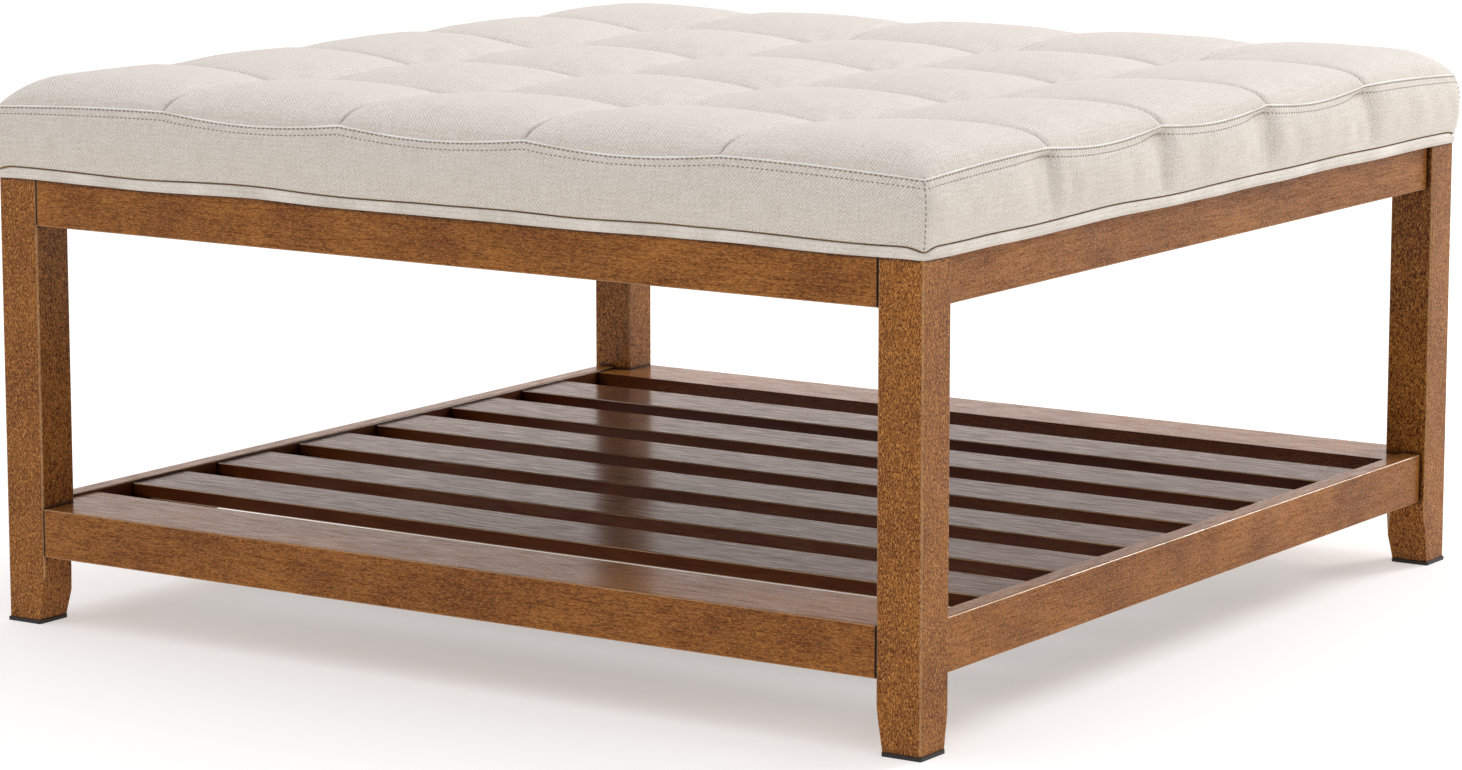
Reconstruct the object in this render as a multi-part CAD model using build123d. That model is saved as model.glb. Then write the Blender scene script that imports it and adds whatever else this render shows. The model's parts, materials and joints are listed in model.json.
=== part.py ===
from build123d import *
import math
import os

# Ottoman coffee table: a square tufted top on four bolted wooden legs, with a slatted shelf.
# Lengths are millimetres. X runs left to right along the front, Y to the back and Z up.
# The origin is on the floor, under the middle of the table.

# Driving sizes of the wooden frame
frame_side = 900.0  # across the outer faces of the legs, both ways
frame_height = 379.0  # floor to the leg tops, where the deck rests
leg_side = 40.0
leg_round = 2.5
rail_thickness = 18.0
rail_height = 41.0
rail_round = 1.5
front_recess = 0.5  # front and back rails behind the leg faces
side_recess = 5.5  # side rails behind the leg faces

# Foot of each leg
foot_taper_height = 40.0
foot_taper_inset = 6.4
glide_thickness = 3.0
glide_lip = 0.8
glide_round = 1.5
nail_radius = 1.0
nail_length = 14.0
nail_head_radius = 3.0
nail_head_height = 1.0
nail_recess = 1.6

# Shelf
shelf_height = 99.0  # floor to the top of the slats
shelf_flange = 12.0  # thickness of the slats and of the front and back flanges
front_board_depth = 84.0
back_board_depth = 69.0
side_lip = 2.0  # side rails stand this far above the slats
slat_count = 6
slat_width = 68.5
slat_round = 1.2
slat_gap_shares = (0.148, 0.136, 0.136, 0.136, 0.136, 0.136, 0.172)
slat_end_gap = 0.5
cleat_width = 20.0
cleat_height = 18.0

# Corner blocks and the flats that they pull against
corner_flat = 6.0  # how far the flat cuts in along each inner face of a leg
flat_runout = 8.0
block_thickness = 20.0
top_block_height = 36.0
shelf_block_height = 26.0
seat_gap = 0.3
fit_gap = 0.1
bolt_gap = 0.2  # round a bolt in its block

# Bolts, washers and threaded inserts
bolt_radius = 3.0
bolt_head_radius = 5.0
bolt_head_height = 6.0
socket_across = 5.0
socket_depth = 3.0
bolt_reach = 20.0  # past the flat of the leg
bolt_hole_depth = 24.0
insert_radius = 4.0
insert_length = 13.0
washer_radius = 8.0
washer_thickness = 1.6
spring_radius = 5.0
spring_thickness = 1.6

# Wood screws
screw_radius = 1.75
screw_head_radius = 3.5
screw_head_height = 2.5
screw_head_room = 0.5
screw_grip = 11.0  # wood left under the head of a block screw
screw_bite = 12.0  # length in a rail
screw_spread = 9.0  # block screws above and below the bolt
shelf_screw_spread = 6.5
deck_screw_seat = 4.0
deck_screw_bite = 9.0
deck_screw_offset = 10.0
slat_screw_seat = 4.0
slat_screw_bite = 9.0
slat_screw_spread = 18.0
cleat_screw_seat = 3.0

# Upholstered top
deck_thickness = 12.0
foam_thickness = 42.0
soft_gap = 0.3  # between a soft piece and its neighbour
cover_wall = 2.7
boxing_height = 50.0
boxing_bulge = 3.5
cover_corner = 9.0
cell_count = 5
tuft_padding = 12.5  # cover and wadding over the foam at a tuft
seam_puff = 6.0
crest_puff = 4.0
seam_rise = 6.0  # boxing seam at the tuft lines, above its dips
shoulder_width = 45.0
shoulder_shares = (0.02, 0.1, 0.25, 0.5, 0.75, 1.0)  # sections over a shoulder
outer_cell_shares = (0.5, 0.67, 0.85)  # sections from a shoulder to the first seam
cell_shares = (0.0, 0.15, 0.33, 0.5, 0.67, 0.85)  # sections from one seam to the next
welt_height = 7.0
welt_thickness = 2.8
welt_round = 1.2
welt_drop = 0.5
tie_radius = 1.0
tie_hole_gap = 0.4
tie_disc_radius = 9.0
tie_disc_thickness = 1.4
dust_sag = 1.9
dust_thickness = 0.8
dust_rim = 12.0
dust_margin = 4.0

# One overrun for all cuts
overrun = 30.0

# Places worked out from the sizes above
half = frame_side / 2
leg_in = half - leg_side
face_inner = half - front_recess - rail_thickness
side_inner = half - side_recess - rail_thickness
apron_low = frame_height - rail_height
shelf_low = shelf_height - rail_height
flange_low = shelf_height - shelf_flange
flat_sum = 2 * leg_in + corner_flat
block_sum = flat_sum - block_thickness * math.sqrt(2)
flat_reach = flat_sum / math.sqrt(2)
block_reach = block_sum / math.sqrt(2)
foot_side = leg_side - foot_taper_inset
foot_centre = half - foot_side / 2
deck_top = frame_height + deck_thickness
foam_top = deck_top + foam_thickness
cover_half = half + soft_gap + cover_wall
cover_low = frame_height - welt_drop + welt_height + soft_gap
seam_low = cover_low + boxing_height
tuft_level = foam_top + soft_gap + tuft_padding
cell_side = 2 * cover_half / cell_count
corners = {
    "front_left": (-1, -1),
    "front_right": (1, -1),
    "back_left": (-1, 1),
    "back_right": (1, 1),
}
faces = {"front": -1, "back": 1}
flanks = {"left": -1, "right": 1}


def block_box(low, high):
    """Box between two corner points."""
    size = [b - a for a, b in zip(low, high)]
    return Pos(*low) * Box(*size, align=(Align.MIN, Align.MIN, Align.MIN))


def rod(radius, length, start, axis):
    """Solid cylinder that starts at a point and runs along an axis."""
    return Plane(origin=start, z_dir=axis) * Cylinder(
        radius, length, align=(Align.CENTER, Align.CENTER, Align.MIN)
    )


def prism(points, low, high):
    """Flat outline pulled up from one height to another."""
    outline = Face(Wire.make_polygon([(x, y, low) for x, y in points]))
    return Solid.extrude(outline, (0, 0, high - low))


def diagonal(sx, sy):
    """Direction from the middle of the table out through a corner."""
    return (sx / math.sqrt(2), sy / math.sqrt(2), 0)


def along(sx, sy, reach, side, z):
    """Point at a reach along a corner's diagonal and a distance to the side of it."""
    x = (reach + side) / math.sqrt(2)
    y = (reach - side) / math.sqrt(2)
    return (sx * x, sy * y, z)


def bolt_heights():
    """Heights of the two bolts in each leg."""
    top = frame_height - top_block_height / 2
    shelf = flange_low - shelf_block_height / 2
    return top, shelf


# Legs and glides


def corner_flat_cut(sx, sy, low, high, runout):
    """Wedge that takes the inner corner off a leg, with a sloping end."""
    deep = flat_reach - overrun
    slope = runout * overrun / (corner_flat / math.sqrt(2))
    points = [(flat_reach, high), (flat_reach, low), (deep, low - slope), (deep, high)]
    plane = Plane(origin=(0, 0, 0), x_dir=diagonal(sx, sy), z_dir=(sy, -sx, 0))
    lift = plane.to_local_coords(Vector(0, 0, 1)).Y
    outline = Face(Wire.make_polygon([plane.from_local_coords((u, lift * v, 0)) for u, v in points]))
    side = plane.z_dir * leg_side
    return Solid.extrude(outline.translate(-side), side * 2)


def taper_cut(sx, sy, across):
    """Wedge that tapers one inner face of a leg down to the foot."""
    top = glide_thickness + foot_taper_height
    slope = foot_taper_inset / foot_taper_height
    low = glide_thickness - overrun
    deep = leg_in - overrun
    points = [(leg_in, top), (leg_in + slope * (top - low), low), (deep, low), (deep, top)]
    wide = half + overrun
    if across == "x":
        outline = Face(Wire.make_polygon([(sx * u, -wide, v) for u, v in points]))
        return Solid.extrude(outline, (0, 2 * wide, 0))
    outline = Face(Wire.make_polygon([(-wide, sy * u, v) for u, v in points]))
    return Solid.extrude(outline, (2 * wide, 0, 0))


def leg(sx, sy):
    """Square leg, tapered at the foot, with flats and bolt holes for its two corner blocks."""
    centre = half - leg_side / 2
    height = frame_height - glide_thickness
    body = Pos(sx * centre, sy * centre, glide_thickness) * Box(
        leg_side, leg_side, height, align=(Align.CENTER, Align.CENTER, Align.MIN)
    )
    body = fillet(body.edges().filter_by(Axis.Z), leg_round)
    body -= corner_flat_cut(sx, sy, apron_low, frame_height + overrun, flat_runout)
    body -= corner_flat_cut(sx, sy, -overrun, shelf_height, 0)
    body -= taper_cut(sx, sy, "x")
    body -= taper_cut(sx, sy, "y")
    for z in bolt_heights():
        start = along(sx, sy, flat_reach - overrun, 0, z)
        body -= rod(insert_radius + fit_gap, overrun + bolt_hole_depth, start, diagonal(sx, sy))
    nail_hole = nail_radius + fit_gap
    body -= rod(nail_hole, nail_length, (sx * foot_centre, sy * foot_centre, 0), (0, 0, 1))
    return body


def glide(sx, sy):
    """Black pad nailed under a foot."""
    side = foot_side + 2 * glide_lip
    body = Pos(sx * foot_centre, sy * foot_centre, 0) * Box(
        side, side, glide_thickness, align=(Align.CENTER, Align.CENTER, Align.MIN)
    )
    body = fillet(body.edges().filter_by(Axis.Z), glide_round)
    centre = (sx * foot_centre, sy * foot_centre, 0)
    body -= rod(nail_radius + fit_gap, overrun, centre, (0, 0, 1))
    return body - rod(nail_head_radius + fit_gap, nail_recess, centre, (0, 0, 1))


def glide_nail(sx, sy):
    """Nail with its head sunk in the pad."""
    seat = nail_recess - nail_head_height
    head = rod(nail_head_radius, nail_head_height, (sx * foot_centre, sy * foot_centre, seat), (0, 0, 1))
    shank_end = nail_length - nail_recess
    return head + rod(nail_radius, shank_end, (sx * foot_centre, sy * foot_centre, nail_recess), (0, 0, 1))


# Corner blocks, bolts and their screws


def block_outline(sx, sy):
    """Plan of a corner block, which wraps the inner corner of a leg."""
    near = leg_in - seat_gap
    far = flat_sum - seat_gap * math.sqrt(2) - near
    points = [
        (side_inner, near),
        (far, near),
        (near, far),
        (near, face_inner),
        (block_sum - face_inner, face_inner),
        (side_inner, block_sum - side_inner),
    ]
    return [(sx * x, sy * y) for x, y in points]


def rail_screw_places(sx, sy, z, spread):
    """Start and direction of the four screws that hold a block to its two rails."""
    near = leg_in - seat_gap
    side_y = (block_sum - side_inner + near) / 2
    face_x = (block_sum - face_inner + near) / 2
    places = []
    for dz in (-spread, spread):
        places.append(((sx * (side_inner - screw_grip), sy * side_y, z + dz), (sx, 0, 0)))
        places.append(((sx * face_x, sy * (face_inner - screw_grip), z + dz), (0, sy, 0)))
    return places


def screw(seat, axis, length):
    """Pan-head wood screw whose head rests at the seat."""
    back = tuple(s - a * screw_head_height for s, a in zip(seat, axis))
    head = rod(screw_head_radius, screw_head_height, back, axis)
    return head + rod(screw_radius, length, seat, axis)


def screw_hole(seat, axis, length):
    """Room for a screw and for the driver behind its head."""
    back = tuple(s - a * overrun for s, a in zip(seat, axis))
    driver = rod(screw_head_radius + screw_head_room, overrun, back, axis)
    return driver + rod(screw_radius + fit_gap, length + fit_gap, seat, axis)


def deck_screw_places(sx, sy):
    """Seats of the two screws that go up through a top block into the deck."""
    z = frame_height - top_block_height + deck_screw_seat
    reach = (block_reach + flat_reach) / 2
    return [along(sx, sy, reach, side, z) for side in (-deck_screw_offset, deck_screw_offset)]


def deck_screw_length():
    return top_block_height - deck_screw_seat + deck_screw_bite


def corner_block(sx, sy, low, height, spread):
    """Wooden block across a corner, bored for its bolt and its rail screws."""
    body = Part() + prism(block_outline(sx, sy), low, low + height)
    z = low + height / 2
    start = along(sx, sy, block_reach - overrun, 0, z)
    body -= rod(bolt_radius + bolt_gap, 2 * overrun + block_thickness, start, diagonal(sx, sy))
    for seat, axis in rail_screw_places(sx, sy, z, spread):
        body -= screw_hole(seat, axis, screw_grip + screw_bite)
    return body


def top_block(sx, sy):
    body = corner_block(sx, sy, frame_height - top_block_height, top_block_height, screw_spread)
    for seat in deck_screw_places(sx, sy):
        body -= screw_hole(seat, (0, 0, 1), deck_screw_length())
    return body


def shelf_block(sx, sy):
    low = flange_low - shelf_block_height
    return corner_block(sx, sy, low, shelf_block_height, shelf_screw_spread)


def bolt(sx, sy, z):
    """Socket-head bolt that pulls a leg against its corner block."""
    axis = diagonal(sx, sy)
    under_head = block_reach - washer_thickness - spring_thickness
    head_start = along(sx, sy, under_head - bolt_head_height, 0, z)
    head = rod(bolt_head_radius, bolt_head_height, head_start, axis)
    key = Plane(origin=head_start, z_dir=axis) * extrude(
        RegularPolygon(socket_across / 2, 6, major_radius=False), socket_depth
    )
    length = flat_reach + bolt_reach - under_head
    return head - key + rod(bolt_radius, length, along(sx, sy, under_head, 0, z), axis)


def ring(sx, sy, z, reach, thickness, outer, inner):
    """Washer, or the threaded insert, on a bolt."""
    axis = diagonal(sx, sy)
    start = along(sx, sy, reach, 0, z)
    return rod(outer, thickness, start, axis) - rod(inner, thickness, start, axis)


def each_bolt(make):
    """The same piece made at all eight bolts."""
    return [make(sx, sy, z) for sx, sy in corners.values() for z in bolt_heights()]


def flat_washer(sx, sy, z):
    reach = block_reach - washer_thickness
    return ring(sx, sy, z, reach, washer_thickness, washer_radius, bolt_radius + fit_gap)


def spring_washer(sx, sy, z):
    reach = block_reach - washer_thickness - spring_thickness
    return ring(sx, sy, z, reach, spring_thickness, spring_radius, bolt_radius + fit_gap)


def insert(sx, sy, z):
    return ring(sx, sy, z, flat_reach, insert_length, insert_radius, bolt_radius + fit_gap)


def block_screws():
    """Screws that hold the eight corner blocks to the rails."""
    made = []
    for sx, sy in corners.values():
        for z, spread in zip(bolt_heights(), (screw_spread, shelf_screw_spread)):
            for seat, axis in rail_screw_places(sx, sy, z, spread):
                made.append(screw(seat, axis, screw_grip + screw_bite))
    return made


# Rails under the deck and round the shelf


def drill_rail(body, sx, sy):
    """Takes the holes of one corner's block screws out of a rail."""
    for z, spread in zip(bolt_heights(), (screw_spread, shelf_screw_spread)):
        for seat, axis in rail_screw_places(sx, sy, z, spread):
            body -= rod(screw_radius + fit_gap, screw_grip + screw_bite + fit_gap, seat, axis)
    return body


def face_apron(sign):
    """Front or back rail under the deck, between two legs."""
    low = (-leg_in, face_inner, apron_low)
    body = block_box(low, (leg_in, half - front_recess, frame_height))
    body = fillet(body.edges().filter_by(Axis.X).group_by(Axis.Z)[0], rail_round)
    if sign < 0:
        body = body.mirror(Plane.XZ)
    for sx in (-1, 1):
        body = drill_rail(body, sx, sign)
    return body


def side_apron(sign):
    """Left or right rail under the deck, between two legs."""
    low = (side_inner, -leg_in, apron_low)
    body = block_box(low, (half - side_recess, leg_in, frame_height))
    body = fillet(body.edges().filter_by(Axis.Y).group_by(Axis.Z)[0], rail_round)
    if sign < 0:
        body = body.mirror(Plane.YZ)
    for sy in (-1, 1):
        body = drill_rail(body, sign, sy)
    return body


def board_inner_edge(sign):
    """How far in from the middle line the front or back board of the shelf starts."""
    depth = front_board_depth if sign < 0 else back_board_depth
    return half - front_recess - depth


def shelf_face_rail(sign):
    """Front or back rail of the shelf: an upright face with a wide flange level with the slats."""
    outer = half - front_recess
    inner = board_inner_edge(sign)
    upright = block_box((-leg_in, face_inner, shelf_low), (leg_in, outer, shelf_height))
    flange = block_box((-leg_in, inner, flange_low), (leg_in, face_inner, shelf_height))
    reach = side_inner - slat_end_gap
    wing = block_box((-reach, inner, flange_low), (reach, leg_in - seat_gap, shelf_height))
    body = upright + flange + wing
    top_outer = body.edges().filter_by(Axis.X).group_by(Axis.Y)[-1]
    body = fillet(top_outer, rail_round)
    if sign < 0:
        body = body.mirror(Plane.XZ)
    for sx in (-1, 1):
        body = drill_rail(body, sx, sign)
    return body


def shelf_side_rail(sign):
    """Left or right rail of the shelf, which stands a little above the slats."""
    outer = half - side_recess
    low = (side_inner, -leg_in, shelf_low)
    body = block_box(low, (outer, leg_in, shelf_height + side_lip))
    body = fillet(body.edges().filter_by(Axis.Y), rail_round)
    if sign < 0:
        body = body.mirror(Plane.YZ)
    for sy in (-1, 1):
        body = drill_rail(body, sign, sy)
    for seat in cleat_screw_seats(sign):
        body -= rod(screw_radius + fit_gap, cleat_screw_length() + fit_gap, seat, (sign, 0, 0))
    return body


# Slats, cleats and their screws


def slat_centres():
    """Middle line of each slat, from the front board to the back board."""
    start = -board_inner_edge(-1)
    room = board_inner_edge(1) - start - slat_count * slat_width
    centres = []
    edge = start
    for share in slat_gap_shares[:slat_count]:
        edge += share * room
        centres.append(edge + slat_width / 2)
        edge += slat_width
    return centres


def slat_screw_seats(sign, centre):
    """Seats of the two screws under one end of a slat."""
    x = sign * (side_inner - cleat_width / 2)
    z = flange_low - cleat_height + slat_screw_seat
    return [(x, centre + dy, z) for dy in (-slat_screw_spread, slat_screw_spread)]


def slat_screw_length():
    return cleat_height - slat_screw_seat + slat_screw_bite


def cleat_screw_seats(sign):
    """Seats of the screws that hold a cleat to its side rail, one under each gap."""
    centres = slat_centres()
    x = sign * (side_inner - cleat_width + cleat_screw_seat)
    z = flange_low - cleat_height / 2
    return [(x, (a + b) / 2, z) for a, b in zip(centres, centres[1:])]


def cleat_screw_length():
    return cleat_width - cleat_screw_seat + screw_bite


def cleat(sign):
    """Strip inside a side rail that carries the slat ends."""
    reach = block_sum - side_inner - seat_gap
    inner = side_inner - cleat_width
    body = block_box((inner, -reach, flange_low - cleat_height), (side_inner, reach, flange_low))
    near = prism(cleat_end_cut(-1), flange_low - cleat_height, flange_low)
    body = body - near - prism(cleat_end_cut(1), flange_low - cleat_height, flange_low)
    if sign < 0:
        body = body.mirror(Plane.YZ)
    for seat in cleat_screw_seats(sign):
        body -= screw_hole(seat, (sign, 0, 0), cleat_screw_length())
    for centre in slat_centres():
        for seat in slat_screw_seats(sign, centre):
            body -= screw_hole(seat, (0, 0, 1), slat_screw_length())
    return body


def cleat_end_cut(sy):
    """Triangle that lets a cleat's end lie along the corner block."""
    line = block_sum - seat_gap * math.sqrt(2)
    inner = side_inner - cleat_width - seat_gap
    far = line - inner
    return [(inner, sy * far), (line - half, sy * half), (half, sy * half), (half, sy * (line - half))]


def slat(centre):
    """Flat board across the shelf, with eased long edges."""
    reach = side_inner - slat_end_gap
    low = (-reach, centre - slat_width / 2, flange_low)
    body = block_box(low, (reach, centre + slat_width / 2, shelf_height))
    body = fillet(body.edges().filter_by(Axis.X), slat_round)
    for sign in (-1, 1):
        for seat in slat_screw_seats(sign, centre):
            body -= rod(screw_radius + fit_gap, slat_screw_length() + fit_gap, seat, (0, 0, 1))
    return body


def slat_screws():
    made = []
    for sign in (-1, 1):
        for centre in slat_centres():
            for seat in slat_screw_seats(sign, centre):
                made.append(screw(seat, (0, 0, 1), slat_screw_length()))
    return made


def cleat_screws():
    made = []
    for sign in (-1, 1):
        for seat in cleat_screw_seats(sign):
            made.append(screw(seat, (sign, 0, 0), cleat_screw_length()))
    return made


def deck_screws():
    made = []
    for sx, sy in corners.values():
        for seat in deck_screw_places(sx, sy):
            made.append(screw(seat, (0, 0, 1), deck_screw_length()))
    return made


# Upholstered top


def seam_lines():
    """Places of the seams between the cells, the same both ways."""
    return [-cover_half + cell_side * n for n in range(1, cell_count)]


def tuft_places():
    """Middle of each tuft, where the seams of the cells cross."""
    return [(x, y) for x in seam_lines() for y in seam_lines()]


def plate(side, low, high, corner):
    """Square board with rounded upright corners."""
    body = Pos(0, 0, low) * Box(side, side, high - low, align=(Align.CENTER, Align.CENTER, Align.MIN))
    return fillet(body.edges().filter_by(Axis.Z), corner)


def bored_board(low, high):
    """Square board of the deck or the foam, with its tie holes."""
    body = plate(frame_side, low, high, leg_round)
    length = high - low + 2 * overrun
    for x, y in tuft_places():
        body -= rod(tie_radius + tie_hole_gap, length, (x, y, low - overrun), (0, 0, 1))
    return body


def deck():
    """Plywood board that the legs and aprons carry."""
    body = bored_board(frame_height, deck_top)
    for sx, sy in corners.values():
        for seat in deck_screw_places(sx, sy):
            body -= rod(screw_radius + fit_gap, deck_screw_length() + fit_gap, seat, (0, 0, 1))
    return body


def foam():
    return bored_board(deck_top, foam_top)


def puff(distance):
    """0 on a seam and 1 from the middle of a cell, by the distance in from the edge."""
    outer = distance < cell_side / 2
    return 1.0 if outer else abs(math.sin(math.pi * distance / cell_side))


def shoulder(distance):
    """Rounds the cover over from 0 at its edge to 1."""
    share = min(distance / shoulder_width, 1)
    return math.sqrt(1 - (1 - share) ** 2)


def seam_height(distance):
    """Boxing seam, which the tufts pull up at their lines and which dips between them."""
    turn = math.pi * distance / cell_side
    pull = math.sin(turn / 2) if distance < cell_side else 1 - abs(math.sin(turn))
    return seam_low + seam_rise * pull


def cover_height(x, y):
    """Height of the tufted cover over a point."""
    in_x = max(cover_half - abs(x), 0)
    in_y = max(cover_half - abs(y), 0)
    px, py = puff(in_x), puff(in_y)
    crown = tuft_level + seam_puff * (px + py) + crest_puff * px * py
    edge = seam_height(max(in_x, in_y))
    return edge + (crown - edge) * shoulder(in_x) * shoulder(in_y)


def section_stops():
    """Edges and middles of the stretches that one section of the cover is drawn in."""
    shoulder_end = cover_half - shoulder_width
    return [-cover_half, -shoulder_end] + seam_lines() + [shoulder_end, cover_half]


def cover_section(y):
    """Closed outline of the cover across the table at one depth."""
    stops = section_stops()
    points = [Vector(x, y, cover_height(x, y)) for x in stops]
    edges = []
    for a, b in zip(points, points[1:]):
        x = (a.X + b.X) / 2
        edges.append(Edge.make_three_point_arc(a, Vector(x, y, cover_height(x, y)), b))
    right = Vector(cover_half, y, cover_low)
    left = Vector(-cover_half, y, cover_low)
    middle = (points[-1].Z + cover_low) / 2
    out = cover_half + boxing_bulge
    edges.append(Edge.make_three_point_arc(points[-1], Vector(out, y, middle), right))
    edges.append(Edge.make_line(right, left))
    edges.append(Edge.make_three_point_arc(left, Vector(-out, y, middle), points[0]))
    return Wire(edges)


def section_depths():
    """Depths of the cover's sections, from the back to the front."""
    outer = [cover_half + boxing_bulge + overrun, cover_half]
    outer += [cover_half - shoulder_width * share for share in shoulder_shares]
    outer += [cover_half - cell_side * share for share in outer_cell_shares]
    inner = []
    for n in range(1, cell_count - 1):
        inner += [cover_half - cell_side * (n + share) for share in cell_shares]
    return outer + inner + [-inner[0]] + [-y for y in reversed(outer)]


def boxing_prism():
    """Space between the front and back boxing, which swells a little between its seams."""
    out = cover_half + boxing_bulge
    high = seam_low + seam_rise / 2
    middle = (high + cover_low) / 2
    top = tuft_level + overrun
    x = -half - overrun
    back = [Vector(x, cover_half, cover_low), Vector(x, out, middle), Vector(x, cover_half, high)]
    front = [Vector(x, -p.Y, p.Z) for p in reversed(back)]
    edges = [
        Edge.make_three_point_arc(*back),
        Edge.make_line(back[-1], Vector(x, cover_half, top)),
        Edge.make_line(Vector(x, cover_half, top), Vector(x, -cover_half, top)),
        Edge.make_line(Vector(x, -cover_half, top), front[0]),
        Edge.make_three_point_arc(*front),
        Edge.make_line(front[-1], back[0]),
    ]
    return Solid.extrude(Face(Wire(edges)), (2 * (half + overrun), 0, 0))


def tufted_cover():
    """Cover and wadding: biscuit tufts, a crown, round shoulders and drawn-in sides, over a pocket."""
    pillow = Part() + Solid.make_loft([cover_section(y) for y in section_depths()], ruled=True)
    corner_trim = plate(2 * (cover_half + boxing_bulge), cover_low, tuft_level + overrun, cover_corner)
    body = pillow & boxing_prism() & corner_trim
    pocket = plate(frame_side + 2 * soft_gap, frame_height, foam_top + soft_gap, leg_round + soft_gap)
    return body - pocket


def welt():
    """Piping round the bottom edge of the cover."""
    low = frame_height - welt_drop
    inner = frame_side + 2 * soft_gap
    corner = leg_round + soft_gap
    body = plate(inner + 2 * welt_thickness, low, low + welt_height, corner + welt_thickness)
    rims = body.edges().group_by(Axis.Z)
    body = fillet(rims[0] + rims[-1], welt_round)
    return body - plate(inner, low - overrun, low + welt_height + overrun, corner)


def tuft_ties():
    """Twine from each tuft down through the foam and the deck."""
    length = foam_top - frame_height
    return [rod(tie_radius, length, (x, y, frame_height), (0, 0, 1)) for x, y in tuft_places()]


def tie_discs():
    """Discs under the deck that hold the twine."""
    low = frame_height - tie_disc_thickness
    return [rod(tie_disc_radius, tie_disc_thickness, (x, y, low), (0, 0, 1)) for x, y in tuft_places()]


def dust_outline(inset):
    """Plan of the dust cover: a square with its corners cut off at the blocks."""
    reach = side_inner - dust_margin - inset
    cut = block_sum - dust_margin - inset - reach
    points = [(reach, -cut), (reach, cut), (cut, reach), (-cut, reach)]
    return points + [(-x, -y) for x, y in points]


def dust_cover():
    """Black cloth under the deck, stapled along its rim and slack in the middle."""
    low = frame_height - dust_sag - dust_thickness
    body = Part() + prism(dust_outline(0), low, frame_height)
    return body - prism(dust_outline(dust_rim), low + dust_thickness, frame_height + overrun)


# All nodes of the table


def build_nodes():
    """Every node by name, as one shape or a list of separate solids."""
    nodes = {}
    for name, (sx, sy) in corners.items():
        nodes["leg_" + name] = leg(sx, sy)
        nodes["glide_" + name] = glide(sx, sy)
        nodes["top_corner_block_" + name] = top_block(sx, sy)
        nodes["shelf_corner_block_" + name] = shelf_block(sx, sy)
    for name, sign in faces.items():
        nodes["apron_" + name] = face_apron(sign)
        nodes["shelf_rail_" + name] = shelf_face_rail(sign)
    for name, sign in flanks.items():
        nodes["apron_" + name] = side_apron(sign)
        nodes["shelf_rail_" + name] = shelf_side_rail(sign)
        nodes["slat_cleat_" + name] = cleat(sign)
    for number, centre in enumerate(slat_centres(), start=1):
        nodes["shelf_slat_" + str(number)] = slat(centre)
    nodes["top_deck"] = deck()
    nodes["foam_pad"] = foam()
    nodes["tufted_cover"] = tufted_cover()
    nodes["cushion_welt"] = welt()
    nodes["dust_cover"] = dust_cover()
    nodes["tuft_ties"] = tuft_ties()
    nodes["tie_discs"] = tie_discs()
    nodes["leg_bolts"] = each_bolt(bolt)
    nodes["flat_washers"] = each_bolt(flat_washer)
    nodes["spring_washers"] = each_bolt(spring_washer)
    nodes["threaded_inserts"] = each_bolt(insert)
    nodes["block_screws"] = block_screws()
    nodes["deck_screws"] = deck_screws()
    nodes["slat_screws"] = slat_screws()
    nodes["cleat_screws"] = cleat_screws()
    nodes["glide_nails"] = [glide_nail(sx, sy) for sx, sy in corners.values()]
    return nodes


def as_solids(shape):
    """The separate solids of a node."""
    pieces = shape if isinstance(shape, list) else [shape]
    return [solid for piece in pieces for solid in piece.solids()]


os.makedirs("parts", exist_ok=True)
for node_name, node_shape in build_nodes().items():
    export_step(Compound(children=as_solids(node_shape)), os.path.join("parts", node_name + ".step"))
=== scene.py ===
import json
import math
import bpy
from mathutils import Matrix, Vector, noise


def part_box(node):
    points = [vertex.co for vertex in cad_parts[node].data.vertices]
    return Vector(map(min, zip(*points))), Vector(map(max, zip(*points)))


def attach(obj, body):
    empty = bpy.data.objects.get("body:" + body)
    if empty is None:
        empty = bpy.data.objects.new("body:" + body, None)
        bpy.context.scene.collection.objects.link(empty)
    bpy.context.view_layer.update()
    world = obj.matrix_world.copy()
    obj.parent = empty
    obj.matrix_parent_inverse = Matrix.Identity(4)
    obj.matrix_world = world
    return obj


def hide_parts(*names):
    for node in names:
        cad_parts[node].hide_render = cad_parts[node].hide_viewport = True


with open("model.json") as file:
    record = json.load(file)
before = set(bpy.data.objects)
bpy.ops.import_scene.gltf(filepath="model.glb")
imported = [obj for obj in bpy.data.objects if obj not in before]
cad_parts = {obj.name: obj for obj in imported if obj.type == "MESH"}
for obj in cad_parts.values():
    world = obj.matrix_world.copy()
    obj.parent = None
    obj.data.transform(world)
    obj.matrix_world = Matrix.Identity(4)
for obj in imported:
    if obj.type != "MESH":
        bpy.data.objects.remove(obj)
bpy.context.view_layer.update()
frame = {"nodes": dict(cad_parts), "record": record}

nodes = frame["nodes"]
mm = 0.001
near = 0.2 * mm  # points closer than this are at the same place
facing = 0.7  # a face whose normal goes further than this along an axis is turned that way
waveBand = math.pi / 10  # width of one band of a wave texture at scale 1
print("frame loaded:", len(nodes), "nodes")


# Camera at the photograph's viewing angle, in degrees and metres, with lens and sensor in millimetres
view = {
    "azimuth": 33.54,
    "elevation": 9.54,
    "distance": 4.1756,
    "aim": (-0.0121, -0.0080, 0.1796),
    "lens": 118.93,
    "sensor": 36.0,
}


def placeCamera():
    turn = math.radians(view["azimuth"])
    tilt = math.radians(view["elevation"])
    away = Vector((math.sin(turn) * math.cos(tilt), -math.cos(turn) * math.cos(tilt), math.sin(tilt)))
    place = Vector(view["aim"]) + away * view["distance"]
    bpy.ops.object.camera_add(location=place, rotation=(math.pi / 2 - tilt, 0, turn))
    camera = bpy.context.object
    camera.data.lens = view["lens"]
    camera.data.sensor_width = view["sensor"]
    camera.data.dof.use_dof = False
    bpy.context.scene.camera = camera
    print("camera placed")


# Small helpers for materials. A Mix node takes its share in socket 0, its numbers in 2 and 3 and its
# colours in 6 and 7


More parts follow.
